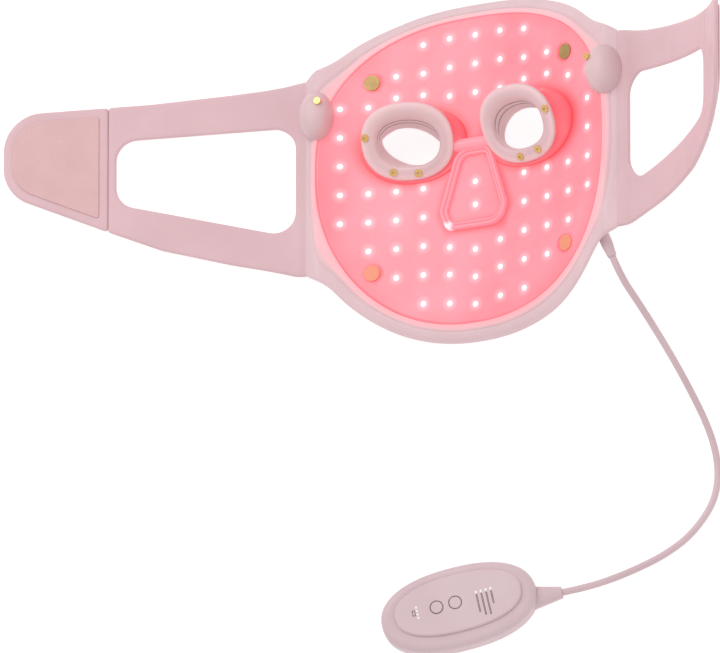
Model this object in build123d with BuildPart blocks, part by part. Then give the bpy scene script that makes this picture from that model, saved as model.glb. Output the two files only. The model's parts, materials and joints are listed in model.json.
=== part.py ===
"""Flexible LED light-therapy face mask with two head straps and a corded hand controller.

The mask lies outer side down on a table, rolled onto its left side so that it rests on its
left edge and on its nose form. The left strap lies flat, the right strap curls up, and the
controller lies beside the mask. Millimetres, +Z up, table at Z = 0, forehead towards +Y.
"""
from build123d import *
from math import copysign, cos, degrees, pi, radians, sin, tan
import os

os.makedirs("parts", exist_ok=True)

# ---------------------------------------------------------------- how the mask lies
mask_origin = (58.2, 87.2, 30.32)   # middle of the face side, on the nose bridge line
mask_roll = 22.0                   # degrees, right side up
roll = radians(mask_roll)
across = (cos(roll), 0, sin(roll))
face_way = (-sin(roll), 0, cos(roll))
mask_plane = Plane(origin=mask_origin, x_dir=across, z_dir=face_way)
section_plane = Plane(origin=mask_origin, x_dir=across, z_dir=(0, -1, 0))

# ---------------------------------------------------------------- curved sheet of the mask
centre_radius = 290.0              # face side radius of the middle of the sheet
side_radius = 175.0                # tighter radius near the temples
centre_half = 50.0                 # arc length from the middle to the tighter part
sheet_reach = 103.0                # arc length from the middle to the lit face's side edge
sheet_span = 260.0                 # length along the forehead to chin direction before trimming

# ---------------------------------------------------------------- outlines, seen face on
eye_line = 13.0                    # height of the widest place
top_power = 2.4
chin_power = 2.2
face_half, face_top, face_chin = 99.5, 103.0, 88.0
rim_half, rim_top, rim_chin = 112.6, 112.5, 98.5
outline_points = 28
trim_reach = 80.0                  # how far trimming bodies run past the mask plane

# ---------------------------------------------------------------- layers, as depth below the face side
face_thickness = 2.0
led_height = 1.5
board_depth = 4.0
board_thickness = 0.6
pan_depth = 5.0
pan_rise = 30.0                    # how far the space in front of the face is kept open
shell_depth = 8.0
board_inset = 6.0
fit_gap = 0.2

# ---------------------------------------------------------------- rim, in the section plane
rim_edge_top = 15.8                # height of the rim's outer edge above the mask plane
rim_edge_thickness = 3.0

# ---------------------------------------------------------------- LEDs
led_column_pitch = 17.5
led_row_pitch = 18.0
led_side = 3.5
solder_gap = 0.03
led_rows = {
    0: (5.1, 4.1, 3.1, 0.0, -0.8, -2.35, -3.3, -4.25),
    1: (5.1, 4.1, 3.1, -2.15, -3.1, -4.1),
    2: (5, 4, 3.25, 0, -1, -2, -3, -4),
    3: (4, 3.25, 0, -1, -2, -3),
    4: (3, 0, -1, -2),
    5: (3, 2, 1, 0, -1),
}

# ---------------------------------------------------------------- eyes and nose
eye_hole_at = (40.5, 28.0)
eye_hole_half = (28.0, 16.0)
eye_hole_wall = 2.0
cup_at = (37.9, 26.1, 16.6)        # middle of the cup's rim plane, in the mask plane
cup_lean = (0.25, 0.51)            # rise of the rim plane outwards and upwards
cup_half = (28.7, 23.9)
cup_power = 2.3
cup_thickness = 2.0
cup_flange = 9.0
cup_depth = 8.7
cut_margin = 0.01                  # by which a cutting body passes the faces it opens
opening_at = (-1.3, -4.7)
opening_half = (19.4, 11.1)
opening_power = 1.8
opening_tilt = 15.6
eyelet_places = ((25.8, 4.3), (10.6, -18.0), (-4.8, -19.6))
eyelet_head_radius, eyelet_shank_radius, eyelet_hole_radius = 2.4, 1.4, 0.7
eyelet_head, eyelet_length = 0.9, 4.2
frame_base_at = (39.5, 27.0)
frame_base_half = (34.0, 23.5)
frame_root = 3.0                   # how far the frame starts below the mask plane
frame_clearance = 0.3              # from the frame's top edge to the cup's rim
frame_hollow_root, frame_hollow_rise = 3.5, 0.5
frame_hollow_grow = (1.0, 3.0)     # of the frame's inside past the eye hole
bridge_size = (24.0, 8.0)
bridge_at = 23.0
bridge_height = 6.0
ridge_height = 3.2
ridge_width = 3.4
ridge_round = 3.9
frame_rim = 6.8
funnel_thickness = 1.5
ridge_outline = ((-10.5, 20.0), (10.5, 20.0), (22.0, -17.0), (18.0, -27.5), (-18.0, -27.5),
                 (-22.0, -17.0))
nose_middle = (0.0, 2.0)
nose_base_half = (24.0, 40.0)
nose_depth = 20.1                  # how far the nose form stands out of the shell
nose_taper = 24.0
nose_round = 7.0
nose_wall = 2.6
nose_root = 1.5                    # how far the form starts inside the shell

# ---------------------------------------------------------------- face contacts and temple pods
contact_places = {"forehead_contacts": (67.8, 69.2), "cheek_contacts": (67.8, -50.0)}
contact_radius = 4.8
contact_sink, contact_proud = 1.4, 0.7
pod_at = (100.3, 50.0, 15.0)
pod_lean = 11.0
pod_half = (12.0, 16.0)
pod_height = 15.0
pod_round = 8.0
pin_at = (-4.2, 7.0)               # on the pod, from its middle towards the face and forehead
pin_radius, pin_head_radius = 1.2, 2.1
pin_length, pin_head = 7.0, 1.8
pod_drop = 1.2                     # how far below the pod's top the pin's head is seated

# ---------------------------------------------------------------- straps
strap_thickness = 3.0
strap_gap = 0.5
strap_barrel = strap_thickness / 2
fold_at = 118.0                    # from the rim edge to the fold between arm and tab
strap_end = 182.0
strap_curl = 262.0                 # radius of the curled right strap
strap_start = 23.5                 # its slope at the rim, from the mask plane
strap_droop = 4.0                  # degrees by which the right strap leans to the chin
ear = ((80, 60), (88, 84), (112.6, 73), (112.6, -47), (94, -54), (80, -40))
arm_outline = ((2.0, 73.0), (43.0, 68.4), (92.0, 64.7), (116.0, 63.8),
               (116.0, -15.0), (85.0, -27.3), (43.0, -38.0), (2.0, -47.0))
arm_window = ((3.5, 46.3), (113.0, 42.2), (113.0, 2.8), (3.5, -22.5))
tab_outline = ((118.0, 63.7), (182.0, 61.5), (182.0, 12.0), (118.0, -14.3))
window_round, tab_round = 13.0, 24.0
pad_inset = 5.5
pad_thickness = 1.2

# ---------------------------------------------------------------- cord and its gland
cord_diameter = 4.2
gland_tip = Vector(146.7, 24.7, 73.11)
gland_way = Vector(0.37, -0.92, -0.15).normalized()
gland_reach = 18.0
gland_radius, gland_tip_radius, gland_taper = 3.6, 2.7, 8.0
cord_route = (                     # from the gland's tip down to the table and to the collar
    (160.5, -1.0, 62.5),
    (169.5, -15.0, 47.5),
    (179.2, -31.3, 29.5),
    (187.8, -47.9, 14.0),
    (195.0, -64.0, 5.0),
    (199.5, -79.5, 2.1),
    (200.9, -94.0, 2.1),
    (198.5, -108.5, 2.1),
    (191.5, -121.0, 2.1),
    (181.0, -133.0, 2.1),
    (166.5, -142.8, 2.1),
    (151.0, -150.0, 2.1),
    (134.5, -156.7, 3.4),
)
cord_first_run, cord_last_run = 14.0, 12.0
arc_share = 0.45                   # share of the shorter run that each bend takes

# ---------------------------------------------------------------- hand controller
controller_at = (45.2, -172.3)
controller_turn = 13.0
controller_half = (47.5, 25.0)
controller_power = 2.3
wall = 2.0
split_height = 9.0
cover_top = 16.0
panel_top = 17.8
panel_half = (39.0, 17.5)
panel_at = (0.5, 1.5)
button_places = {"mode_button": (-12.5, 2.0), "power_button": (-1.0, 2.0)}
button_radius = 3.6
button_gap = 0.15
button_travel = 0.5
lamp_places = (12.5, 15.5, 18.5, 21.5)
lamp_row = 5.0
charge_lamp_column = -24.5
charge_lamp_rows = (-1.5, 0.7, 2.9, 5.1)
lamp_radius = 0.7
collar_at = (43.0, -4.5, 6.5)      # in the controller's plane
collar_way = -3.5
collar_reach = 19.0
collar_half = (7.5, 5.0)
collar_tip_half = (3.6, 3.2)
screw_places = ((-34, -10), (-34, 10), (32, -10), (32, 10))
screw_radius, screw_head_radius = 1.0, 1.9
board_half, board_level, board_sheet = (29.0, 13.5), 10.6, 1.0
battery_size = (40.0, 24.0, 5.0)
switch_size = (6.0, 6.0, 1.3)
socket_size = (7.5, 9.0, 3.3)      # depth, width, height
socket_shell = 0.3
socket_tongue = (6.6, 0.7)
socket_floor, socket_tongue_sink = 1.0, 0.5
socket_at = (-47.3, 0.0, 5.6)
battery_round = 2.0
boss_radius = 2.8
screw_sink, screw_head, screw_bite = 0.3, 1.5, 3.5
screw_slot_width, screw_slot_depth = 0.5, 0.8
base_round, cover_round = 5.5, 4.0
panel_seat, panel_edge = 15.0, 0.8
button_foot, button_flange, button_flange_radius = 13.5, 0.4, 4.4
button_proud, button_edge = 0.3, 0.3
lamp_foot = 12.4


# ---------------------------------------------------------------- places worked out from these
rim_middle = rim_edge_top - rim_edge_thickness / 2
left_rim = mask_plane.from_local_coords(Vector(-rim_half, 0, rim_middle))
right_rim = mask_plane.from_local_coords(Vector(rim_half, 0, rim_middle))
left_root = (left_rim.X, strap_thickness / 2)
right_root = (right_rim.X, right_rim.Z)
chord_slope = radians(strap_start + mask_roll) + strap_end / strap_curl / 2
strap_planes = {
    -1: Plane(origin=(left_root[0], mask_origin[1], left_root[1]), x_dir=(-1, 0, 0),
              z_dir=(0, 0, -1)),
    1: Plane(origin=(right_root[0], mask_origin[1], right_root[1]),
             x_dir=(cos(chord_slope), 0, sin(chord_slope)),
             z_dir=(-sin(chord_slope), 0, cos(chord_slope))),
}
root_fold = strap_gap + strap_barrel
mode_spots = [(column, lamp_row) for column in lamp_places]
charge_spots = [(charge_lamp_column, row) for row in charge_lamp_rows]
controller_plane = Plane(origin=(*controller_at, 0),
                         x_dir=(cos(radians(controller_turn)), sin(radians(controller_turn)), 0),
                         z_dir=(0, 0, 1))
collar_bearing = radians(controller_turn + collar_way)
collar_plane = Plane(origin=controller_plane.from_local_coords(Vector(*collar_at)),
                     x_dir=(-sin(collar_bearing), cos(collar_bearing), 0),
                     z_dir=(cos(collar_bearing), sin(collar_bearing), 0))
inward = (cos(radians(controller_turn)), sin(radians(controller_turn)), 0)
socket_plane = Plane(origin=controller_plane.from_local_coords(Vector(*socket_at)),
                     x_dir=(-inward[1], inward[0], 0), z_dir=inward)


def sheet_point(arc, depth=0.0):
    """Place and slope of the sheet at an arc length from the middle, at a depth below the face."""
    side = copysign(1, arc)
    arc = abs(arc)
    if arc <= centre_half:
        slope = arc / centre_radius
        middle = (0.0, centre_radius)
        radius = centre_radius + depth
    else:
        bend = centre_half / centre_radius
        slope = bend + (arc - centre_half) / side_radius
        inward = centre_radius - side_radius
        middle = (inward * sin(bend), centre_radius - inward * cos(bend))
        radius = side_radius + depth
    return side * (middle[0] + radius * sin(slope)), middle[1] - radius * cos(slope), side * slope


def seat(arc, height, depth=0.0):
    """Plane on the sheet, facing the wearer."""
    u, w, slope = sheet_point(arc, depth)
    return Plane(mask_plane.location * Location((u, height, w), (0, -degrees(slope), 0)))


def superellipse(half_x, half_up, half_down, power_up, power_down, count=outline_points):
    """Points of a rounded outline about its widest line."""
    points = []
    for step in range(count):
        turn = 2 * pi * step / count
        power = power_up if sin(turn) >= 0 else power_down
        half_y = half_up if sin(turn) >= 0 else half_down
        x = copysign(abs(cos(turn)) ** (2 / power), cos(turn)) * half_x
        y = copysign(abs(sin(turn)) ** (2 / power), sin(turn)) * half_y
        points.append((x, y))
    return points


def closed_face(plane, points):
    """Face inside one smooth closed curve."""
    with BuildSketch(plane) as face:
        with BuildLine():
            Spline(*points, periodic=True)
        make_face()
    return face.sketch


def mask_points(half, top, chin, inset=0.0):
    """Face-on outline of the mask or of a layer in it."""
    points = superellipse(half - inset, top - eye_line - inset, chin + eye_line - inset,
                          top_power, chin_power)
    return [(x, y + eye_line) for x, y in points]


def face_outline(inset=0.0):
    """Outline of the lit face or of a layer under it."""
    return closed_face(mask_plane, mask_points(face_half, face_top, face_chin, inset))


def sheet_section(near, far, rim=False):
    """Section of one layer of the curved sheet, between two depths, with or without the rim lip."""
    half_way = (sheet_reach + centre_half) / 2
    stations = (-sheet_reach, -half_way, -centre_half, 0, centre_half, half_way, sheet_reach)
    upper = [sheet_point(station, near)[:2] for station in stations]
    lower = [sheet_point(station, far)[:2] for station in stations]
    with BuildSketch(section_plane) as section:
        with BuildLine():
            for curve in (upper, lower):
                for first in (0, 2, 4):
                    ThreePointArc(curve[first], curve[first + 1], curve[first + 2])
            for side, end in ((-1, 0), (1, -1)):
                lip = [(side * rim_half, rim_edge_top),
                       (side * rim_half, rim_edge_top - rim_edge_thickness)] if rim else []
                Polyline(upper[end], *lip, lower[end])
        make_face()
    return section.sketch


def oval(plane, middle, half, power=2.0):
    """Superellipse about a point of a plane."""
    points = superellipse(half[0], half[1], half[1], power, power)
    return closed_face(plane, [(x + middle[0], y + middle[1]) for x, y in points])


def eye_hole(side, grow=0.0):
    """Outline of one see-through eye hole."""
    return oval(mask_plane, (side * eye_hole_at[0], eye_hole_at[1]),
                (eye_hole_half[0] + grow, eye_hole_half[1] + grow))


def cup_plane(side, sink=0.0):
    """Rim plane of an eye cup, which leans out and up, sunk by a distance along its normal."""
    lean = Vector(-side * cup_lean[0], -cup_lean[1], 1).normalized()
    along = Vector(1, 0, side * cup_lean[0]).normalized()
    local = Plane(origin=(side * cup_at[0], cup_at[1], cup_at[2]), x_dir=along, z_dir=lean)
    return Plane(mask_plane.location * local.location).offset(-sink)


def temple_plane(side):
    """Foot of a temple pod, leaning a little towards the middle."""
    return Plane(mask_plane.location * Location((side * pod_at[0], pod_at[1], pod_at[2]),
                                                (0, -side * pod_lean, 0)))


def opening_points(side, grow=0.0):
    """Almond of the eye opening, outer corner up."""
    tilt = radians(opening_tilt) * side
    points = []
    for x, y in superellipse(opening_half[0] + grow, opening_half[1] + grow,
                             opening_half[1] + grow, opening_power, opening_power):
        turned = (x * cos(tilt) - y * sin(tilt), x * sin(tilt) + y * cos(tilt))
        points.append((turned[0] + side * opening_at[0], turned[1] + opening_at[1]))
    return points


def strap_place(side, arc):
    """Slope and place, in the upright plane through X, of a strap at an arc length from the rim."""
    if side < 0:
        return 0.0, (left_root[0] - arc, left_root[1])
    start = radians(strap_start + mask_roll)
    middle = (right_root[0] - strap_curl * sin(start), right_root[1] + strap_curl * cos(start))
    slope = start + arc / strap_curl
    return slope, (middle[0] + strap_curl * sin(slope), middle[1] - strap_curl * cos(slope))


def strap_outline(side, corners):
    """Points of a strap outline in its own plane, which is the chord plane of the curled one."""
    if side < 0:
        return corners
    half = strap_end / strap_curl / 2
    lean = tan(radians(strap_droop))
    return [(strap_curl * (sin(arc / strap_curl - half) + sin(half)), height - lean * arc)
            for arc, height in corners]


def far_corners(sketch, side):
    """Both corners of a tab's outline at its free end."""
    return sketch.vertices().sort_by(Axis(strap_planes[side].origin, strap_planes[side].x_dir))[2:]


def strap_piece(side, corners, fold, window=(), rounded=0.0):
    """Flat or curled plate with a round barrel along its fold line."""
    plane = strap_planes[side]
    with BuildSketch(plane) as plate:
        Polygon(*strap_outline(side, corners), align=None)
        if rounded:
            fillet(far_corners(plate, side), rounded)
        if window:
            with BuildSketch(plane, mode=Mode.SUBTRACT) as opening:
                Polygon(*strap_outline(side, window), align=None)
                fillet(opening.vertices(), window_round)
    lean = tan(radians(strap_droop)) * fold if side > 0 else 0.0
    top, bottom = corners[0][1] - lean, corners[-1][1] - lean
    centre = strap_place(side, fold)[1]
    with BuildPart() as piece:
        extrude(plate.sketch, amount=strap_end / 2, both=True)
        extrude(strap_section(side, -strap_barrel, strap_barrel), amount=strap_end, both=True,
                mode=Mode.INTERSECT)
        with BuildSketch(Plane.XZ.offset(-mask_origin[1] - top)):
            with Locations(centre):
                Circle(strap_barrel)
        extrude(amount=top - bottom)
    return piece


def strap_section(side, low, high):
    """Section of the strap between two offsets from its middle line, towards the face."""
    ends = []
    for offset in (low, high):
        curve = []
        for arc in (0.0, strap_end / 2, strap_end + 1):
            slope, place = strap_place(side, arc)
            tilt = slope if side > 0 else 0.0
            curve.append((place[0] - offset * sin(tilt), place[1] + offset * cos(tilt)))
        ends.append(curve)
    with BuildSketch(Plane.XZ) as section:
        with BuildLine():
            for curve in ends:
                if side > 0:
                    ThreePointArc(*curve)
                else:
                    Line(curve[0], curve[2])
            Line(ends[0][0], ends[1][0])
            Line(ends[0][2], ends[1][2])
        make_face()
    return section.sketch


def nose_form(root, tip, inset=0.0):
    """Ovals at the root and the tip of the nose form, given as distances out of the shell."""
    slimming = (tip - root) * tan(radians(nose_taper))
    return [oval(mask_plane.offset(-shell_depth - out), nose_middle,
                 (nose_base_half[0] - less, nose_base_half[1] - less), chin_power)
            for out, less in ((root, inset), (tip, inset + slimming))]


def finish(piece, name):
    """Label one finished piece and write it."""
    piece.part.label = name
    export_step(piece.part, f"parts/{name}.step")
    return piece


# ================================================================ spaces inside the mask
gland_plane = Plane(origin=gland_tip - gland_way * gland_reach, z_dir=gland_way)

with BuildPart() as pan_space:
    extrude(sheet_section(-pan_rise, pan_depth), amount=sheet_span / 2, both=True)
    extrude(face_outline(-fit_gap), amount=trim_reach, both=True, mode=Mode.INTERSECT)

with BuildPart() as behind_face:
    extrude(sheet_section(0, trim_reach), amount=sheet_span / 2, both=True)

with BuildPart() as eye_walls:
    extrude(sheet_section(face_thickness, shell_depth), amount=sheet_span / 2, both=True)
    extrude([*eye_hole(-1, eye_hole_wall).faces(), *eye_hole(1, eye_hole_wall).faces()],
            amount=trim_reach, both=True, mode=Mode.INTERSECT)

# ================================================================ outer shell
with BuildPart() as outer_shell:
    extrude(sheet_section(0, shell_depth, rim=True), amount=sheet_span / 2, both=True)
    with BuildSketch(mask_plane):
        with BuildLine():
            Spline(*mask_points(rim_half, rim_top, rim_chin), periodic=True)
        make_face()
        for side in (-1, 1):
            Polygon(*[(side * x, y) for x, y in ear], align=None)
    extrude(amount=trim_reach, both=True, mode=Mode.INTERSECT)
    # nose form on the outer side
    loft(nose_form(-nose_root, nose_depth))
    tip = outer_shell.faces().sort_by(Axis(mask_origin, face_way))[0]
    fillet(tip.edges(), nose_round)
    # hollow of the nose form, open to the pan
    loft(nose_form(pan_depth - shell_depth - nose_root, nose_depth - nose_wall, nose_wall),
         mode=Mode.SUBTRACT)
    add(pan_space.part, mode=Mode.SUBTRACT)
    # walls round the eye holes, closed against the face
    add(eye_walls.part)
    for side in (-1, 1):
        extrude(eye_hole(side), amount=trim_reach, both=True, mode=Mode.SUBTRACT)
    # passage for the cable gland
    with BuildSketch(gland_plane):
        Circle(gland_radius)
    extrude(amount=gland_reach, mode=Mode.SUBTRACT)
finish(outer_shell, "outer_shell")

# ================================================================ face plate
with BuildPart() as faceplate:
    extrude(sheet_section(0, face_thickness), amount=sheet_span / 2, both=True)
    extrude(face_outline(), amount=trim_reach, both=True, mode=Mode.INTERSECT)
    for side in (-1, 1):
        extrude(eye_hole(side), amount=trim_reach, both=True, mode=Mode.SUBTRACT)
        for arc, height in contact_places.values():
            with BuildSketch(seat(side * arc, height, contact_sink)):
                Circle(contact_radius)
            extrude(amount=face_thickness * 2, mode=Mode.SUBTRACT)
finish(faceplate, "faceplate")

# ================================================================ LED board and its LEDs
with BuildPart() as led_board:
    extrude(sheet_section(board_depth, board_depth + board_thickness), amount=sheet_span / 2,
            both=True)
    extrude(face_outline(board_inset), amount=trim_reach, both=True, mode=Mode.INTERSECT)
    for side in (-1, 1):
        extrude(eye_hole(side, eye_hole_wall + fit_gap), amount=trim_reach, both=True,
                mode=Mode.SUBTRACT)
finish(led_board, "led_board")

with BuildPart() as led_chips:
    for column, rows in led_rows.items():
        for side in (-1, 1) if column else (1,):
            for row in rows:
                with BuildSketch(seat(side * column * led_column_pitch, row * led_row_pitch,
                                      board_depth - solder_gap)):
                    Rectangle(led_side, led_side)
    extrude(amount=led_height)
finish(led_chips, "led_chips")

# ================================================================ eye cups
for side, hand in ((-1, "left"), (1, "right")):
    plane = cup_plane(side)
    spots = [(side * x, y) for x, y in eyelet_places]
    with BuildPart() as cup:
        extrude(oval(plane, (0, 0), cup_half, cup_power), amount=-cup_thickness)
        # outside of the funnel
        loft([oval(plane.offset(-cup_thickness / 2), (0, 0),
                   (cup_half[0] - cup_flange + cup_thickness,
                    cup_half[1] - cup_flange + cup_thickness), cup_power),
              closed_face(plane.offset(-cup_depth), opening_points(side, funnel_thickness))])
        # inside of the funnel
        loft([oval(plane.offset(cut_margin), (0, 0),
                   (cup_half[0] - cup_flange, cup_half[1] - cup_flange), cup_power),
              closed_face(plane.offset(-cup_depth - cut_margin), opening_points(side))],
             mode=Mode.SUBTRACT)
        with BuildSketch(plane):
            with Locations(*spots):
                Circle(eyelet_shank_radius)
        extrude(amount=-cup_thickness * 2, mode=Mode.SUBTRACT)
    finish(cup, f"{hand}_eye_cup")

    with BuildPart() as eyelets:
        with BuildSketch(plane):
            with Locations(*spots):
                Circle(eyelet_head_radius)
        extrude(amount=eyelet_head)
        with BuildSketch(plane):
            with Locations(*spots):
                Circle(eyelet_shank_radius)
        extrude(amount=-eyelet_length)
        with BuildSketch(plane.offset(eyelet_head)):
            with Locations(*spots):
                Circle(eyelet_hole_radius)
        extrude(amount=-eyelet_length, mode=Mode.SUBTRACT)
    finish(eyelets, f"{hand}_eyelets")

# ================================================================ eye frame
with BuildSketch(mask_plane) as ridge:
    Polygon(*ridge_outline, align=None)
    fillet(ridge.vertices(), ridge_round)
    offset(amount=-ridge_width, mode=Mode.SUBTRACT)

with BuildPart() as eye_frame:
    for side in (-1, 1):
        loft([oval(mask_plane.offset(-frame_root), (side * frame_base_at[0], frame_base_at[1]),
                   frame_base_half),
              oval(cup_plane(side).offset(-cup_thickness), (0, 0),
                   (cup_half[0] - frame_clearance, cup_half[1] - frame_clearance), cup_power)])
    with BuildSketch(mask_plane):
        with Locations((0, bridge_at)):
            Rectangle(*bridge_size)
    extrude(amount=bridge_height)
    extrude(ridge.sketch, amount=ridge_height)
    for side in (-1, 1):
        plane = cup_plane(side)
        loft([oval(mask_plane.offset(-frame_hollow_root), (side * eye_hole_at[0], eye_hole_at[1]),
                   (eye_hole_half[0] + frame_hollow_grow[0],
                    eye_hole_half[1] + frame_hollow_grow[1])),
              oval(plane.offset(-cup_thickness + frame_hollow_rise), (0, 0),
                   (cup_half[0] - frame_rim, cup_half[1] - frame_rim), cup_power)],
             mode=Mode.SUBTRACT)
        with BuildSketch(plane):
            with Locations(*[(side * x, y) for x, y in eyelet_places]):
                Circle(eyelet_shank_radius)
        extrude(amount=-eyelet_length, mode=Mode.SUBTRACT)
    add(behind_face.part, mode=Mode.SUBTRACT)
finish(eye_frame, "eye_frame")

# ================================================================ face contacts
for name, (arc, height) in contact_places.items():
    with BuildPart() as contacts:
        for side in (-1, 1):
            with BuildSketch(seat(side * arc, height, contact_sink)):
                Circle(contact_radius)
        extrude(amount=contact_sink + contact_proud)
    finish(contacts, name)

# ================================================================ temple pods and their pins
with BuildPart() as temple_pins:
    for side in (-1, 1):
        pod_plane = temple_plane(side).offset(pod_height - pod_drop)
        with BuildSketch(pod_plane):
            with Locations((side * pin_at[0], pin_at[1])):
                Circle(pin_head_radius)
        extrude(amount=pin_head)
        with BuildSketch(pod_plane):
            with Locations((side * pin_at[0], pin_at[1])):
                Circle(pin_radius)
        extrude(amount=-pin_length)
finish(temple_pins, "temple_pins")

for side, hand in ((-1, "left"), (1, "right")):
    with BuildPart() as pod:
        with BuildSketch(temple_plane(side)):
            Ellipse(*pod_half)
        extrude(amount=pod_height)
        fillet(pod.faces().sort_by(Axis(mask_origin, face_way))[-1].edges(), pod_round)
        add(behind_face.part, mode=Mode.SUBTRACT)
        add(outer_shell.part, mode=Mode.SUBTRACT)
        add(temple_pins.part, mode=Mode.SUBTRACT)
    finish(pod, f"{hand}_temple_pod")

# ================================================================ straps and their pads
for side, hand in ((-1, "left"), (1, "right")):
    arm = strap_piece(side, arm_outline, root_fold, window=arm_window)
    finish(arm, f"{hand}_strap_arm")
    tab = strap_piece(side, tab_outline, fold_at, rounded=tab_round)
    finish(tab, f"{hand}_strap_tab")
    with BuildPart() as pad:
        with BuildSketch(strap_planes[side]) as pad_shape:
            Polygon(*strap_outline(side, tab_outline), align=None)
            fillet(far_corners(pad_shape, side), tab_round)
            offset(amount=-pad_inset, mode=Mode.REPLACE)
        extrude(amount=strap_end / 2, both=True)
        low, high = (strap_barrel, strap_barrel + pad_thickness)
        levels = (low, high) if side < 0 else (-high, -low)
        extrude(strap_section(side, *levels), amount=strap_end, both=True, mode=Mode.INTERSECT)
    finish(pad, "hook_pad" if side < 0 else "loop_pad")

# ================================================================ cable gland and cord
with BuildPart() as cable_gland:
    with BuildSketch(gland_plane):
        Circle(gland_radius)
    extrude(amount=gland_reach - gland_taper)
    with BuildSketch(gland_plane.offset(gland_reach - gland_taper)):
        Circle(gland_radius)
    with BuildSketch(gland_plane.offset(gland_reach)):
        Circle(gland_tip_radius)
    loft()
finish(cable_gland, "cable_gland")

collar_tip = collar_plane.from_local_coords(Vector(0, 0, collar_reach))
points = [gland_tip, gland_tip + gland_way * cord_first_run,
          *[Vector(*point) for point in cord_route],
          collar_tip + collar_plane.z_dir * cord_last_run, collar_tip]
runs = [after - before for before, after in zip(points, points[1:])]
radii = []
for before, after in zip(runs, runs[1:]):
    half_turn = radians(before.get_angle(after)) / 2
    radii.append(arc_share * min(before.length, after.length) / tan(half_turn))
with BuildPart() as control_cord:
    with BuildLine() as cord_line:
        FilletPolyline(*points, radius=radii)
    with BuildSketch(Plane(origin=points[0], z_dir=runs[0])):
        Circle(cord_diameter / 2)
    sweep(path=cord_line.line)
finish(control_cord, "control_cord")
cord_length = sum(edge.length for edge in cord_line.edges())
print("cord radii", [round(radius) for radius in radii])
print("cord length", round(cord_length, 1), "volume ratio",
      round(control_cord.part.volume / (pi * cord_diameter ** 2 / 4 * cord_length), 4))

# ================================================================ controller case
def case_outline(inset=0.0, level=0.0):
    """Outline of the controller's case or of a wall inside it."""
    return oval(controller_plane.offset(level), (0, 0),
                (controller_half[0] - inset, controller_half[1] - inset), controller_power)


def socket_outline(inset=0.0):
    """Section of the charging socket or of the space in it."""
    wide, high = socket_size[1] - 2 * inset, socket_size[2] - 2 * inset
    with BuildSketch(socket_plane) as outline:
        RectangleRounded(wide, high, high / 2 - cut_margin)
    return outline.sketch


with BuildPart() as cord_collar:
    with BuildSketch(collar_plane):
        Ellipse(*collar_half)
    with BuildSketch(collar_plane.offset(collar_reach)):
        Ellipse(*collar_tip_half)
    loft()
finish(cord_collar, "cord_collar")

with BuildPart() as controller_base:
    extrude(case_outline(), amount=split_height)
    fillet(controller_base.faces().sort_by(Axis.Z)[0].edges(), base_round)
    extrude(case_outline(wall, wall), amount=split_height, mode=Mode.SUBTRACT)
    with BuildSketch(controller_plane.offset(wall)):
        with Locations(*screw_places):
            Circle(boss_radius)
    extrude(amount=split_height - wall - fit_gap)
    with BuildSketch(controller_plane):
        with Locations(*screw_places):
            Circle(screw_radius + fit_gap)
    extrude(amount=split_height, mode=Mode.SUBTRACT)
    with BuildSketch(controller_plane):
        with Locations(*screw_places):
            Circle(screw_head_radius + fit_gap)
    extrude(amount=screw_sink + screw_head, mode=Mode.SUBTRACT)
    extrude(socket_outline(), amount=socket_size[0], mode=Mode.SUBTRACT)
    add(cord_collar.part, mode=Mode.SUBTRACT)
finish(controller_base, "controller_base")

with BuildPart() as controller_cover:
    extrude(case_outline(level=split_height), amount=cover_top - split_height)
    fillet(controller_cover.faces().sort_by(Axis.Z)[-1].edges(), cover_round)
    extrude(case_outline(wall, split_height), amount=cover_top - wall - split_height,
            mode=Mode.SUBTRACT)
    with BuildSketch(controller_plane.offset(split_height)):
        with Locations(*screw_places):
            Circle(boss_radius)
    extrude(amount=cover_top - wall - split_height)
    with BuildSketch(controller_plane.offset(split_height)):
        with Locations(*screw_places):
            Circle(screw_radius)
    extrude(amount=screw_bite, mode=Mode.SUBTRACT)
    extrude(oval(controller_plane.offset(panel_seat), panel_at, panel_half, controller_power),
            amount=cover_top, mode=Mode.SUBTRACT)
    with BuildSketch(controller_plane):
        with Locations(*button_places.values()):
            Circle(button_radius + button_gap)
        with Locations(*mode_spots, *charge_spots):
            Circle(lamp_radius)
    extrude(amount=panel_top, mode=Mode.SUBTRACT)
    add(cord_collar.part, mode=Mode.SUBTRACT)
finish(controller_cover, "controller_cover")

with BuildPart() as control_panel:
    extrude(oval(controller_plane.offset(panel_seat), panel_at, panel_half, controller_power),
            amount=panel_top - panel_seat)
    chamfer(control_panel.faces().sort_by(Axis.Z)[-1].edges(), panel_edge)
    with BuildSketch(controller_plane):
        with Locations(*button_places.values()):
            Circle(button_radius + button_gap)
        with Locations(*mode_spots, *charge_spots):
            Circle(lamp_radius)
    extrude(amount=panel_top, mode=Mode.SUBTRACT)
finish(control_panel, "control_panel")

# ================================================================ controller buttons and lamps
for name, place in button_places.items():
    with BuildPart() as button:
        with BuildSketch(controller_plane.offset(button_foot)):
            with Locations(place):
                Circle(button_flange_radius)
        extrude(amount=button_flange)
        with BuildSketch(controller_plane.offset(button_foot)):
            with Locations(place):
                Circle(button_radius)
        extrude(amount=panel_top + button_proud - button_foot)
        chamfer(button.faces().sort_by(Axis.Z)[-1].edges(), button_edge)
    finish(button, name)

for name, spots in (("mode_lamps", mode_spots), ("charge_lamps", charge_spots)):
    with BuildPart() as lamps:
        with BuildSketch(controller_plane.offset(lamp_foot)):
            with Locations(*spots):
                Circle(lamp_radius)
        extrude(amount=panel_top - lamp_foot)
    finish(lamps, name)

# ================================================================ inside the controller
with BuildPart() as circuit_board:
    with BuildSketch(controller_plane.offset(board_level)):
        Rectangle(2 * board_half[0], 2 * board_half[1])
    extrude(amount=board_sheet)
finish(circuit_board, "circuit_board")

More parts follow.
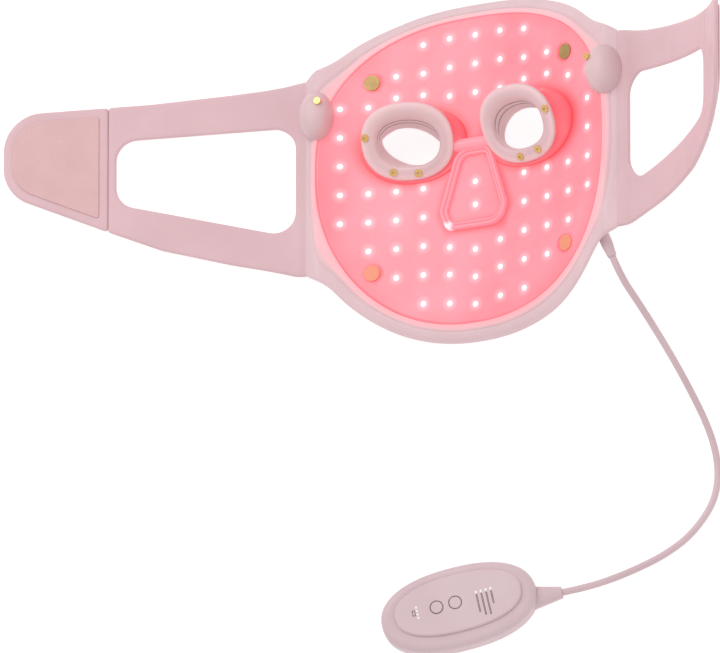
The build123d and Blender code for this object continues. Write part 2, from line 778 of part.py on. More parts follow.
with BuildPart() as tact_switches:
    with BuildSketch(controller_plane.offset(board_level + board_sheet)):
        with Locations(*button_places.values()):
            Rectangle(switch_size[0], switch_size[1])
    extrude(amount=switch_size[2])
finish(tact_switches, "tact_switches")

with BuildPart() as battery_cell:
    with BuildSketch(controller_plane.offset(wall + fit_gap)):
        Rectangle(battery_size[0], battery_size[1])
    extrude(amount=battery_size[2])
    fillet(battery_cell.edges().filter_by(Axis.Z), battery_round)
finish(battery_cell, "battery_cell")

with BuildPart() as usb_socket:
    extrude(socket_outline(), amount=socket_size[0])
    extrude(socket_outline(socket_shell), amount=socket_size[0] - socket_floor,
            mode=Mode.SUBTRACT)
    with BuildSketch(socket_plane.offset(2 * socket_tongue_sink)):
        Rectangle(*socket_tongue)
    extrude(amount=socket_size[0] - socket_floor - socket_tongue_sink)
finish(usb_socket, "usb_socket")

with BuildPart() as case_screws:
    with BuildSketch(controller_plane.offset(screw_sink)):
        with Locations(*screw_places):
            Circle(screw_head_radius)
    extrude(amount=screw_head)
    with BuildSketch(controller_plane.offset(screw_sink)):
        with Locations(*screw_places):
            Circle(screw_radius)
    extrude(amount=split_height + screw_bite - screw_sink)
    with BuildSketch(controller_plane.offset(screw_sink)):
        with Locations(*screw_places):
            Rectangle(screw_head_radius, screw_slot_width)
            Rectangle(screw_slot_width, screw_head_radius)
    extrude(amount=screw_slot_depth, mode=Mode.SUBTRACT)
finish(case_screws, "case_screws")
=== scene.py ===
"""Looks of the light-therapy face mask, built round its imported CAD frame.

The mask lies outer side down, rolled onto its left side. Points on it are written (u, v, w):
u across the face, v up to the forehead and w out of the lit side, measured from the middle of
the face side. Everything is in metres.
"""

import json
from math import atan2, copysign, cos, hypot, pi, radians, sin, sqrt, tan

import bmesh
import bpy
from mathutils import Matrix, Vector


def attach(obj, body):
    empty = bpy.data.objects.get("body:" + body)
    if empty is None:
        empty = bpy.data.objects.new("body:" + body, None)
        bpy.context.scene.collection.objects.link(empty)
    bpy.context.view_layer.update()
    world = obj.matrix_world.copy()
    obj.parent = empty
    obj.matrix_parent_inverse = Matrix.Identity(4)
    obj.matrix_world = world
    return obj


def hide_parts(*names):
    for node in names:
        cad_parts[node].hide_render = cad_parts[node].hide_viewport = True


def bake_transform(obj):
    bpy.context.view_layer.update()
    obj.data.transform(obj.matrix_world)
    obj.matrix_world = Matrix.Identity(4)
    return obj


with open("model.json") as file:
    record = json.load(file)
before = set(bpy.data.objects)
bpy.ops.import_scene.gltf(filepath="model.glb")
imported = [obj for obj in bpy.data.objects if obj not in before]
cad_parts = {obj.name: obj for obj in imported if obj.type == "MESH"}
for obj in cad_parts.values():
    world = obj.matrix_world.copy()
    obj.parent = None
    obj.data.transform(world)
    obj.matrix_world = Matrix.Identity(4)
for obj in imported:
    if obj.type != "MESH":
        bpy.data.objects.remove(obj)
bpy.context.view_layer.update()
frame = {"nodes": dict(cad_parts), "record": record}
MM = 0.001
SIDES = ((-1, "left"), (1, "right"))

# ---------------------------------------------------------------- the mask's own axes
seat = next(mount for mount in frame["record"]["mounts"] if mount["name"] == "face_seat")
ORIGIN = Vector(seat["pos_m"])
FACE_WAY = Vector(seat["axis"]).normalized()
UP_FACE = Vector((0, 1, 0))
ACROSS = UP_FACE.cross(FACE_WAY)
ROLL = atan2(ACROSS.z, ACROSS.x)

# ---------------------------------------------------------------- the curved sheet and its outlines
MIDDLE_RADIUS, SIDE_RADIUS = 0.290, 0.175
MIDDLE_ARC = 0.050
BEND = MIDDLE_ARC / MIDDLE_RADIUS
SIDE_CENTRE = ((MIDDLE_RADIUS - SIDE_RADIUS) * sin(BEND),
               MIDDLE_RADIUS - (MIDDLE_RADIUS - SIDE_RADIUS) * cos(BEND))
EYE_LINE = 0.013
TOP_POWER, CHIN_POWER = 2.4, 2.2
FACE = (0.0995, 0.103, 0.088)      # half width, forehead and chin of the lit face
RIM = (0.1126, 0.1125, 0.0985)
EAR = ((0.080, 0.060), (0.088, 0.084), (0.1126, 0.073),
       (0.1126, -0.047), (0.094, -0.054), (0.080, -0.040))
RIM_EDGE_TOP, RIM_THICKNESS = 0.0158, 0.003
RIM_MIDDLE = RIM_EDGE_TOP - RIM_THICKNESS / 2
SHELL_DEPTH = 0.008
TURNS = 288                        # points round the mask's outlines
OUTLINE_STEP = 0.001               # gap between the points of a rounded polygon

# ---------------------------------------------------------------- eyes and nose
EYE_HOLE_AT, EYE_HOLE_HALF = (0.0405, 0.028), (0.028, 0.016)
CUP_AT, CUP_LEAN = (0.0379, 0.0261, 0.0166), (0.25, 0.51)
CUP_HALF, CUP_POWER = (0.0287, 0.0239), 2.3
OPENING_AT, OPENING_HALF = (-0.0013, -0.0047), (0.0194, 0.0111)
OPENING_POWER, OPENING_TILT = 1.8, radians(15.6)
RIDGE = ((-0.0105, 0.020), (0.0105, 0.020), (0.022, -0.017),
         (0.018, -0.0275), (-0.018, -0.0275), (-0.022, -0.017))
RIDGE_ROUNDS = (0.004, 0.004, 0.010, 0.0055, 0.0055, 0.010)   # counter-clockwise from the last
NOSE_MIDDLE, NOSE_HALF = (0.0, 0.002), (0.024, 0.040)
NOSE_DEPTH, NOSE_POWER = 0.0190, 2.2
LOBE_AT, LOBE_HALF = (0.0395, 0.027), (0.034, 0.0235)
PANEL_TOP = 0.0178
CONTACTS = ((0.0661, 0.0692), (0.0661, -0.050))

# ---------------------------------------------------------------- LEDs
LED_COLUMN, LED_ROW = 0.0175, 0.018
LED_ROWS = {
    0: (5.1, 4.1, 3.1, 0.0, -0.8, -2.35, -3.3, -4.25),
    1: (5.1, 4.1, 3.1, -2.15, -3.1, -4.1),
    2: (5, 4, 3.25, 0, -1, -2, -3, -4),
    3: (4, 3.25, 0, -1, -2, -3),
    4: (3, 0, -1, -2),
    5: (3, 2, 1, 0, -1),
}
LED_RINGS = ((0.0, 1.0), (0.9, 1.0), (1.3, 0.65), (1.65, 0.22), (2.1, 0.13),
             (3.0, 0.08), (4.2, 0.04), (5.6, 0.0))   # radius in mm, brightness

# ---------------------------------------------------------------- straps
STRAP_THICKNESS = 0.003
STRAP_CURL, STRAP_START, STRAP_DROOP = 0.262, radians(23.5), radians(4)
FOLD_AT, STRAP_END = 0.118, 0.182
ROOT_LAP = 0.006                   # how far the strap reaches into the rim
ROOT_RUN = 0.007                   # arc over which it bends away from the rim
ARM = ((0.043, 0.0684), (0.092, 0.0647), (FOLD_AT, 0.0638),
       (FOLD_AT, -0.0143), (0.085, -0.0273), (0.043, -0.038))
ROOT_TOP = ((-ROOT_LAP, 0.0742), (0.003, 0.0737), (0.010, 0.0722), (0.022, 0.0704))
ROOT_FOOT = ((0.022, -0.0424), (0.010, -0.0452), (0.003, -0.0472), (-ROOT_LAP, -0.0480))
WINDOW = ((0.0035, 0.0463), (0.113, 0.0422), (0.113, 0.0028), (0.0035, -0.0225))
TAB = ((FOLD_AT, 0.0637), (STRAP_END, 0.0615), (STRAP_END, 0.012), (FOLD_AT, -0.0143))
PAD = ((0.1235, 0.0580), (0.1765, 0.0562), (0.1765, 0.0157), (0.1235, -0.0061))
WINDOW_ROUND, TAB_ROUND, PAD_ROUND, END_ROUND = 0.013, 0.024, 0.0185, 0.0014
PAD_THICKNESS = 0.0012
ARM_MIDDLE, TAB_MIDDLE = (0.058, 0.018), (0.150, 0.031)

# ---------------------------------------------------------------- cord
CORD_DIAMETER, CORD_LENGTH = 0.0042, 0.2807
CORD_ROUTE = (                     # from the gland's tip to the controller's collar
    (0.14670, 0.02470, 0.07311),
    (0.15187, 0.01186, 0.07102),
    (0.16050, -0.00100, 0.06250),
    (0.16950, -0.01500, 0.04750),
    (0.17920, -0.03130, 0.02950),
    (0.18780, -0.04790, 0.01400),
    (0.19500, -0.06400, 0.00500),
    (0.19950, -0.07950, 0.00210),
    (0.20090, -0.09400, 0.00210),
    (0.19850, -0.10850, 0.00210),
    (0.19150, -0.12100, 0.00210),
    (0.18100, -0.13300, 0.00210),
    (0.16650, -0.14280, 0.00210),
    (0.15100, -0.15000, 0.00210),
    (0.13450, -0.15670, 0.00340),
    (0.118685, -0.161896, 0.00650),
    (0.10685, -0.163876, 0.00650),
)


# ================================================================ camera and light
def aim_camera():
    """Long lens over the mask, at the photograph's angle."""
    towards = Vector((0.1394, -0.2711, 0.9524)).normalized()
    right = Vector((0.98945, 0, -0.14487)).normalized()
    up = towards.cross(right)
    distance, view_width = 12.0, 0.4323
    mask_middle = Vector((0.0591, 0.0872, 0.0303))
    target = mask_middle - 0.0699 * right - 0.0872 * up
    camera = bpy.data.objects.new("camera", bpy.data.cameras.new("camera"))
    camera.data.sensor_width = 36
    camera.data.lens = 36 * distance / view_width
    camera.data.clip_end = 40
    camera.matrix_world = Matrix.Translation(target + towards * distance) @ Matrix(
        (right, up, towards)).transposed().to_4x4()
    bpy.context.scene.collection.objects.link(camera)
    bpy.context.scene.camera = camera


def light_room():
    """Even white studio light with one soft key from the upper left."""
    world = bpy.data.worlds.new("studio")
    world.use_nodes = True
    world.node_tree.nodes["Background"].inputs["Color"].default_value = (1, 0.99, 0.985, 1)
    world.node_tree.nodes["Background"].inputs["Strength"].default_value = 0.72
    bpy.context.scene.world = world
    bpy.context.scene.view_settings.view_transform = "Standard"
    for name, place, size, power in (("key", (-0.9, 0.9, 1.6), 1.2, 14),
                                     ("fill", (1.2, -0.8, 1.4), 1.6, 5)):
        lamp = bpy.data.lights.new(name, "AREA")
        lamp.energy, lamp.size = power, size
        light = bpy.data.objects.new(name, lamp)
        light.location = place
        light.rotation_euler = (-Vector(place)).to_track_quat("-Z", "Y").to_euler()
        bpy.context.scene.collection.objects.link(light)


# ================================================================ mesh helpers
def build(name, points, faces, material, smooth=True):
    """Mesh object from points and faces."""
    mesh = bpy.data.meshes.new(name)
    mesh.from_pydata([tuple(point) for point in points], [], faces)
    mesh.update()
    mesh.materials.append(material)
    mesh.polygons.foreach_set("use_smooth", [smooth] * len(mesh.polygons))
    piece = bpy.data.objects.new(name, mesh)
    bpy.context.scene.collection.objects.link(piece)
    return piece


def ring_faces(count, rows, closed_rows=False):
    """Quads between rows of points that each run once round."""
    faces = []
    for row in range(rows if closed_rows else rows - 1):
        first, second = row * count, ((row + 1) % rows) * count
        for step in range(count):
            after = (step + 1) % count
            faces.append((first + step, first + after, second + after, second + step))
    return faces


def loft(name, rings, material, start_cap=False, end_cap=False, closed=False):
    """Skin through rings of points, with fans over its ends where asked."""
    count = len(rings[0])
    points = [Vector(point) for ring in rings for point in ring]
    faces = ring_faces(count, len(rings), closed)
    for wanted, row in ((start_cap, 0), (end_cap, len(rings) - 1)):
        if wanted:
            ring = range(row * count, (row + 1) * count)
            middle = sum((points[i] for i in ring), Vector()) / count
            points.append(middle)
            hub = len(points) - 1
            for step in range(count):
                pair = (ring[step], ring[(step + 1) % count])
                faces.append((hub, *(pair if row else reversed(pair))))
    piece = build(name, points, faces, material)
    outward(piece)
    return piece


def rework(piece, change):
    """Make one change to a piece's mesh."""
    mesh = bmesh.new()
    mesh.from_mesh(piece.data)
    change(mesh)
    mesh.to_mesh(piece.data)
    mesh.free()


def outward(piece):
    """Turn a closed mesh's faces to point out of it."""
    rework(piece, lambda mesh: bmesh.ops.recalc_face_normals(mesh, faces=mesh.faces))


def drop_loose(piece):
    """Remove points that no face uses."""
    rework(piece, lambda mesh: bmesh.ops.delete(
        mesh, geom=[vert for vert in mesh.verts if not vert.link_faces], context="VERTS"))


def paint(piece, name, values):
    """Store one number per vertex for the materials to read."""
    attribute = piece.data.attributes.new(name, "FLOAT", "POINT")
    attribute.data.foreach_set("value", values)


def soften(name, width):
    """Round the edges of a CAD node's visible mesh."""
    bevel = frame["nodes"][name].modifiers.new("soft_edges", "BEVEL")
    bevel.width, bevel.segments = width, 3
    bevel.limit_method = "ANGLE"
    bevel.angle_limit = radians(32)
    bevel.harden_normals = False


def ease(value, low, high):
    """Smooth step from 0 at low to 1 at high."""
    share = min(max((value - low) / (high - low), 0.0), 1.0)
    return share * share * (3 - 2 * share)


# ================================================================ shape helpers
def on_mask(u, v, w):
    """Point of the mask's own axes in the row frame."""
    return ORIGIN + u * ACROSS + v * UP_FACE + w * FACE_WAY


def sheet_height(u, depth=0.0):
    """Height w of the sheet at u, at a depth below its face side."""
    u = abs(u)
    split = (MIDDLE_RADIUS + depth) * sin(BEND)
    if u <= split:
        return MIDDLE_RADIUS - sqrt((MIDDLE_RADIUS + depth) ** 2 - u ** 2)
    reach = min(u - SIDE_CENTRE[0], 0.6 * SIDE_RADIUS)
    return SIDE_CENTRE[1] - sqrt((SIDE_RADIUS + depth) ** 2 - reach ** 2)


def on_arc(arc):
    """Distance u at an arc length along the sheet."""
    if abs(arc) <= MIDDLE_ARC:
        return MIDDLE_RADIUS * sin(arc / MIDDLE_RADIUS)
    slope = BEND + (abs(arc) - MIDDLE_ARC) / SIDE_RADIUS
    return copysign(SIDE_CENTRE[0] + SIDE_RADIUS * sin(slope), arc)


def superellipse(half, power, count, middle=(0, 0), grow=0.0):
    """Points round a rounded outline."""
    points = []
    for step in range(count):
        turn = 2 * pi * step / count
        points.append((
            middle[0] + copysign(abs(cos(turn)) ** (2 / power), cos(turn)) * (half[0] + grow),
            middle[1] + copysign(abs(sin(turn)) ** (2 / power), sin(turn)) * (half[1] + grow)))
    return points


def oval_reach(half, power, way):
    """Distance from an oval's middle to its edge in a direction."""
    return (abs(way[0] / half[0]) ** power + abs(way[1] / half[1]) ** power) ** (-1 / power)


def outline_reach(size, turn):
    """Distance from the eye line's middle to a mask outline, at a turn from +u."""
    way = (cos(turn), sin(turn))
    up = way[1] >= 0
    half = (size[0], size[1] - EYE_LINE if up else size[2] + EYE_LINE)
    return oval_reach(half, TOP_POWER if up else CHIN_POWER, way)


def crossing(turn, first, second):
    """Distance from the eye line's middle to where a ray meets a segment, or 0."""
    way = Vector((cos(turn), sin(turn)))
    a, b = Vector(first) - Vector((0, EYE_LINE)), Vector(second) - Vector((0, EYE_LINE))
    run = b - a
    across = way.x * run.y - way.y * run.x
    if abs(across) < 1e-9:
        return 0.0
    reach = (a.x * run.y - a.y * run.x) / across
    share = (a.x * way.y - a.y * way.x) / across
    return reach if reach > 0 and 0 <= share <= 1 else 0.0


def rim_reaches():
    """Distance to the rim's outer edge at each turn, with the strap ears eased in."""
    plain, reaches = [], []
    for step in range(TURNS):
        turn = 2 * pi * step / TURNS
        reach = outline_reach(RIM, turn)
        plain.append(reach)
        for side in (-1, 1):
            corners = [(side * u, v) for u, v in EAR]
            for first, second in zip(corners, corners[1:]):
                reach = max(reach, crossing(turn, first, second))
        reaches.append(reach)
    ears = [reach - bare for reach, bare in zip(reaches, plain)]
    for _ in range(2):
        ears = [sum(ears[(step + shift) % TURNS] for shift in range(-2, 3)) / 5
                for step in range(TURNS)]
    return [bare + ear for bare, ear in zip(plain, ears)]


def rounded_polygon(corners, radii):
    """Points round a polygon whose corners are rounded."""
    points = []
    count = len(corners)
    for index, corner in enumerate(corners):
        corner = Vector(corner)
        before = (Vector(corners[index - 1]) - corner).normalized()
        after = (Vector(corners[(index + 1) % count]) - corner).normalized()
        half = before.angle(after) / 2
        cut = radii[index] / tan(half)
        start, end = corner + before * cut, corner + after * cut
        centre = corner + (before + after).normalized() * (radii[index] / sin(half))
        steps = max(2, int(radii[index] * (pi - 2 * half) / OUTLINE_STEP))
        for step in range(steps + 1):
            share = step / steps
            way = (start - centre).lerp(end - centre, share).normalized()
            points.append(centre + way * radii[index])
    spaced = []
    for first, second in zip(points, points[1:] + points[:1]):
        parts = max(1, round((second - first).length / OUTLINE_STEP))
        spaced += [first.lerp(second, part / parts) for part in range(parts)]
    return spaced


def resample(loop, count, middle):
    """Points of a loop at even turns about a middle, counter-clockwise from its -x side."""
    angles = [atan2(p[1] - middle[1], p[0] - middle[0]) for p in loop]
    result = []
    for step in range(count):
        turn = -pi + 2 * pi * (step + 0.5) / count
        for index, point in enumerate(loop):
            other = loop[(index + 1) % len(loop)]
            first, second = angles[index], angles[(index + 1) % len(loop)]
            gap = (second - first + pi) % (2 * pi) - pi
            part = (turn - first + pi) % (2 * pi) - pi
            if gap and 0 <= part / gap < 1 and abs(part) < pi / 2:
                share = part / gap
                result.append(Vector(point).lerp(Vector(other), share))
                break
    return result


# ================================================================ materials
def start_material(name):
    """New node material with its shader and object coordinates."""
    material = bpy.data.materials.new(name)
    material.use_nodes = True
    nodes, links = material.node_tree.nodes, material.node_tree.links
    shader = nodes["Principled BSDF"]
    place = nodes.new("ShaderNodeTexCoord")
    return material, nodes, links, shader, place.outputs["Object"]


def noise(nodes, links, place, scale, detail=3.0, rough=0.55):
    """Noise texture of a given scale."""
    texture = nodes.new("ShaderNodeTexNoise")
    texture.inputs["Scale"].default_value = scale
    texture.inputs["Detail"].default_value = detail
    texture.inputs["Roughness"].default_value = rough
    links.new(place, texture.inputs["Vector"])
    return texture.outputs["Fac"]


def blend_colours(nodes, links, share, first, second):
    """Mix of two colours by a share; each is a colour or another node's output."""
    mix = nodes.new("ShaderNodeMix")
    mix.data_type = "RGBA"
    links.new(share, mix.inputs["Factor"])
    for socket, colour in ((mix.inputs["A"], first), (mix.inputs["B"], second)):
        if isinstance(colour, tuple):
            socket.default_value = (*colour, 1)
        else:
            links.new(colour, socket)
    return mix.outputs["Result"]


def spread(nodes, links, value, low, high, start=0.35, end=0.65):
    """Map a value from one range to another."""
    mapped = nodes.new("ShaderNodeMapRange")
    for name, number in (("From Min", start), ("From Max", end), ("To Min", low), ("To Max", high)):
        mapped.inputs[name].default_value = number
    links.new(value, mapped.inputs["Value"])
    return mapped.outputs["Result"]


def bump(nodes, links, shader, height, strength, distance):
    """Surface relief from a height."""
    relief = nodes.new("ShaderNodeBump")
    relief.inputs["Strength"].default_value = strength
    relief.inputs["Distance"].default_value = distance
    links.new(height, relief.inputs["Height"])
    links.new(relief.outputs["Normal"], shader.inputs["Normal"])


def grained(nodes, links, shader, place, rough, grain=900, strength=0.5, relief=0.00006,
            octave=0.55):
    """Fine grain in a surface's roughness and relief."""
    fine = noise(nodes, links, place, grain, 2.0, octave)
    links.new(spread(nodes, links, fine, *rough), shader.inputs["Roughness"])
    bump(nodes, links, shader, fine, strength, relief)


def emit(nodes, links, shader, colour, share, low, high):
    """Colour of a surface that also glows, from low to high strength by a share."""
    links.new(colour, shader.inputs["Base Color"])
    links.new(colour, shader.inputs["Emission Color"])
    links.new(spread(nodes, links, share, low, high, 0.0, 1.0), shader.inputs["Emission Strength"])


def scatter(shader, share):
    """Light that scatters under the surface of silicone."""
    shader.inputs["Subsurface Weight"].default_value = share
    shader.inputs["Subsurface Radius"].default_value = (1.0, 0.45, 0.4)
    shader.inputs["Subsurface Scale"].default_value = 0.004


def moulded(name, colour, shade, rough=(0.42, 0.58), grain=900, relief=0.00006, soft=0.0,
            coat=0.0, metal=0.0, mottle=22):
    """Moulded surface: slow colour drift between two tones and a fine grain."""
    material, nodes, links, shader, place = start_material(name)
    drift = noise(nodes, links, place, mottle)
    tone = spread(nodes, links, drift, 0.0, 1.0)
    links.new(blend_colours(nodes, links, tone, colour, shade), shader.inputs["Base Color"])
    grained(nodes, links, shader, place, rough, grain, relief=relief, octave=0.6)
    shader.inputs["Metallic"].default_value = metal
    shader.inputs["Coat Weight"].default_value = coat
    shader.inputs["Coat Roughness"].default_value = 0.25
    if soft:
        scatter(shader, soft)
    return material


def attribute(nodes, name):
    """Per-vertex number stored on the mesh."""
    node = nodes.new("ShaderNodeAttribute")
    node.attribute_name = name
    return node.outputs["Fac"]


def glowing(name, pale, deep, light):
    """Lit silicone: pink glow, deeper red as painted shade where "deep" is high, and white where
    "glow" is high, from the LEDs and from painted highlights.
    """
    material, nodes, links, shader, place = start_material(name)
    drift = spread(nodes, links, noise(nodes, links, place, 30), 0.0, 0.22)
    base = blend_colours(nodes, links, drift, pale, deep)
    # painted shade: the glow turns deeper red where the "deep" attribute is high
    red = blend_colours(nodes, links, attribute(nodes, "deep"), base, deep)
    # white where "glow" is high: LED light, and a painted highlight on the nose bead
    glow = attribute(nodes, "glow")
    final = blend_colours(nodes, links, glow, red, light)
    emit(nodes, links, shader, final, glow, 0.30, 2.2)
    grained(nodes, links, shader, place, (0.32, 0.44), 1100, 0.35, 0.00004)
    shader.inputs["Coat Weight"].default_value = 0.15
    shader.inputs["Coat Roughness"].default_value = 0.3
    return material


def rim_material():
    """Shell silicone, with the light of the face bleeding into its inner lip."""
    material, nodes, links, shader, place = start_material("rim_silicone")
    tone = spread(nodes, links, noise(nodes, links, place, 24), 0.0, 1.0)
    base = blend_colours(nodes, links, tone, (0.76, 0.545, 0.575), (0.71, 0.505, 0.535))
    bleed = attribute(nodes, "bleed")
    final = blend_colours(nodes, links, bleed, base, (0.95, 0.30, 0.34))
    emit(nodes, links, shader, final, bleed, 0.0, 0.5)
    grained(nodes, links, shader, place, (0.45, 0.6))
    shader.inputs["Sheen Weight"].default_value = 0.15
    return material


def metal(name, colour, shade, rough=(0.18, 0.34), grain=700):
    """Polished or brushed metal with fine wear."""
    return moulded(name, colour, shade, rough, grain, 0.00003, metal=1.0, mottle=260)


def cup_material():
    """Opaque cup silicone: painted highlights along its edges and painted shade in its creases."""
    material, nodes, links, shader, place = start_material("cup_silicone")
    tone = spread(nodes, links, noise(nodes, links, place, 22), 0.0, 1.0)
    base = blend_colours(nodes, links, tone, (0.76, 0.53, 0.55), (0.70, 0.48, 0.50))
    # the "shade" attribute holds painted shade above 0 and painted highlights below 0
    shade = attribute(nodes, "shade")
    # painted shade in the creases
    dark = blend_colours(nodes, links, spread(nodes, links, shade, 0.0, 1.0, 0.0, 1.0), base,
                         (0.26, 0.13, 0.14))
    # painted highlight along the edges
    lit = blend_colours(nodes, links, spread(nodes, links, shade, 1.0, 0.0, -1.0, 0.0), dark,
                        (0.95, 0.66, 0.68))
    links.new(lit, shader.inputs["Base Color"])
    grained(nodes, links, shader, place, (0.4, 0.52))
    scatter(shader, 0.15)
    return material


def hook_material():
    """Dense pile of small hooks over a pink backing."""
    material, nodes, links, shader, place = start_material("hook_fabric")
    cells = nodes.new("ShaderNodeTexVoronoi")
    cells.inputs["Scale"].default_value = 1100
    links.new(place, cells.inputs["Vector"])
    drift = spread(nodes, links, noise(nodes, links, place, 60), 0.0, 1.0)
    tone = blend_colours(nodes, links, drift, (0.76, 0.485, 0.49), (0.71, 0.45, 0.455))
    dots = spread(nodes, links, cells.outputs["Distance"], 0.0, 0.5, 0.1, 0.6)
    links.new(blend_colours(nodes, links, dots, tone, (0.66, 0.41, 0.415)),
              shader.inputs["Base Color"])
    shader.inputs["Roughness"].default_value = 0.85
    shader.inputs["Sheen Weight"].default_value = 0.4
    bump(nodes, links, shader, cells.outputs["Distance"], 0.6, 0.00025)
    return material


silicone_rim = rim_material()
silicone_strap = moulded("strap_silicone", (0.71, 0.475, 0.51), (0.67, 0.445, 0.475),
                         (0.46, 0.6), soft=0.08)
silicone_cup = cup_material()
silicone_pod = moulded("pod_silicone", (0.74, 0.53, 0.55), (0.69, 0.49, 0.51),
                       (0.4, 0.52), soft=0.1)
# Lit materials: pale glow, a deep red for random tone and painted shade, and white for LED light and
# painted highlights
lit_face = glowing("lit_face", (0.90, 0.255, 0.31), (0.90, 0.075, 0.088), (1.0, 0.97, 0.96))
lit_frame = glowing("lit_frame", (0.90, 0.20, 0.245), (0.90, 0.08, 0.095), (1.0, 0.8, 0.8))
lit_bead = glowing("lit_bead", (0.92, 0.29, 0.345), (0.92, 0.20, 0.25), (1.0, 0.93, 0.90))
hook_pile = hook_material()
cord_jacket = moulded("cord_jacket", (0.66, 0.49, 0.52), (0.61, 0.44, 0.47), (0.36, 0.5))
case_plastic = moulded("case_plastic", (0.66, 0.50, 0.53), (0.62, 0.46, 0.49), (0.38, 0.5))
panel_plastic = moulded("panel_plastic", (0.69, 0.53, 0.56), (0.65, 0.49, 0.52), (0.34, 0.46))
mark_dark = moulded("mark_dark", (0.16, 0.08, 0.09), (0.12, 0.06, 0.07), (0.4, 0.5))
lamp_lens = moulded("lamp_lens", (0.98, 0.95, 0.95), (0.93, 0.88, 0.89), (0.15, 0.25), coat=0.5)
gold = moulded("gold", (0.86, 0.56, 0.20), (0.76, 0.46, 0.13), (0.2, 0.34), relief=0.00003,
               metal=0.6, coat=0.3, mottle=260)
contact_gold = moulded("contact_gold", (0.45, 0.31, 0.12), (0.38, 0.25, 0.09), (0.35, 0.5),
                       metal=0.45, mottle=260)
covered_contact = moulded("covered_contact", (0.92, 0.33, 0.19), (0.88, 0.28, 0.16),
                          (0.36, 0.48), soft=0.2, coat=0.15)
steel = metal("steel", (0.72, 0.72, 0.73), (0.62, 0.62, 0.64))
board_green = moulded("board_green", (0.03, 0.20, 0.09), (0.02, 0.16, 0.07), (0.3, 0.4))
dark_plastic = moulded("dark_plastic", (0.03, 0.03, 0.035), (0.02, 0.02, 0.025), (0.35, 0.5))
foil = metal("foil", (0.75, 0.76, 0.78), (0.68, 0.69, 0.72), (0.3, 0.42))


# ================================================================ floor, cord
def lay_floor():
    """Pale table top."""
    material = moulded("pale_table", (0.42, 0.415, 0.41), (0.40, 0.396, 0.392), (0.6, 0.7),
                       grain=300, mottle=3)
    reach = 3.0
    corners = [(-reach, -reach, 0), (reach, -reach, 0), (reach, reach, 0), (-reach, reach, 0)]
    shader = material.node_tree.nodes["Principled BSDF"]
    shader.inputs["Emission Color"].default_value = (1.0, 1.0, 1.0, 1)
    shader.inputs["Emission Strength"].default_value = 0.72
    floor = build("floor", corners, [(0, 1, 2, 3)], material, smooth=False)
    floor.location.z = -0.0003


def run_cord():
    """Cord on one smooth line from the gland to the collar."""
    curve = bpy.data.curves.new("cord", "CURVE")
    curve.dimensions = "3D"
    curve.bevel_depth = CORD_DIAMETER / 2
    curve.bevel_resolution = 6
    line = curve.splines.new("NURBS")
    line.points.add(len(CORD_ROUTE) - 1)
    for point, place in zip(line.points, CORD_ROUTE):
        point.co = (*place, 1)
    line.order_u = 3
    line.use_endpoint_u = True
    line.resolution_u = 12
    curve.materials.append(cord_jacket)
    cord = bpy.data.objects.new("cord", curve)
    bpy.context.scene.collection.objects.link(cord)
    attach(cord, "mask")
    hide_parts("control_cord")


# ================================================================ lit face and shell
FACE_REACHES = [outline_reach(FACE, 2 * pi * step / TURNS) for step in range(TURNS)]
RIM_REACHES = rim_reaches()
EYE_HOLES = [(side * EYE_HOLE_AT[0], EYE_HOLE_AT[1]) for side in (-1, 1)]


def in_hole(u, v):
    """Whether a point is in one of the eye holes."""
    return any((abs(u - middle[0]) / EYE_HOLE_HALF[0]) ** 2
               + (abs(v - middle[1]) / EYE_HOLE_HALF[1]) ** 2 < 1 for middle in EYE_HOLES)


def polar_sheet(reaches, rows):
    """Grid round the eye line's middle, with clean eye holes: (u, v) points and faces."""
    flat = [(0.0, EYE_LINE)]
    for row in range(1, rows + 1):
        for step in range(TURNS):
            turn = 2 * pi * step / TURNS
            reach = reaches[step] * row / rows
            flat.append((reach * cos(turn), EYE_LINE + reach * sin(turn)))
    faces = [(0, 1 + step, 1 + (step + 1) % TURNS) for step in range(TURNS)]
    for row in range(rows - 1):
        for step in range(TURNS):
            after = (step + 1) % TURNS
            first, second = 1 + row * TURNS, 1 + (row + 1) * TURNS
            faces.append((first + step, second + step, second + after, first + after))
    kept, cut = [], []
    for face in faces:
        middle = [sum(flat[i][axis] for i in face) / len(face) for axis in (0, 1)]
        (cut if in_hole(*middle) else kept).append(face)
    edge = {i for face in cut for i in face} & {i for face in kept for i in face}
    for i in edge:
        hole = min(EYE_HOLES, key=lambda h: hypot(flat[i][0] - h[0], flat[i][1] - h[1]))
        way = Vector((flat[i][0] - hole[0], flat[i][1] - hole[1])).normalized()
        reach = oval_reach(EYE_HOLE_HALF, 2, way)
        flat[i] = (hole[0] + way.x * reach, hole[1] + way.y * reach)
    return flat, kept


def near_segment(point, first, second):
    """Distance from a point to a segment."""
    point, first, second = Vector(point), Vector(first), Vector(second)
    run = second - first
    share = min(max((point - first).dot(run) / run.length_squared, 0), 1)
    return (point - first - run * share).length


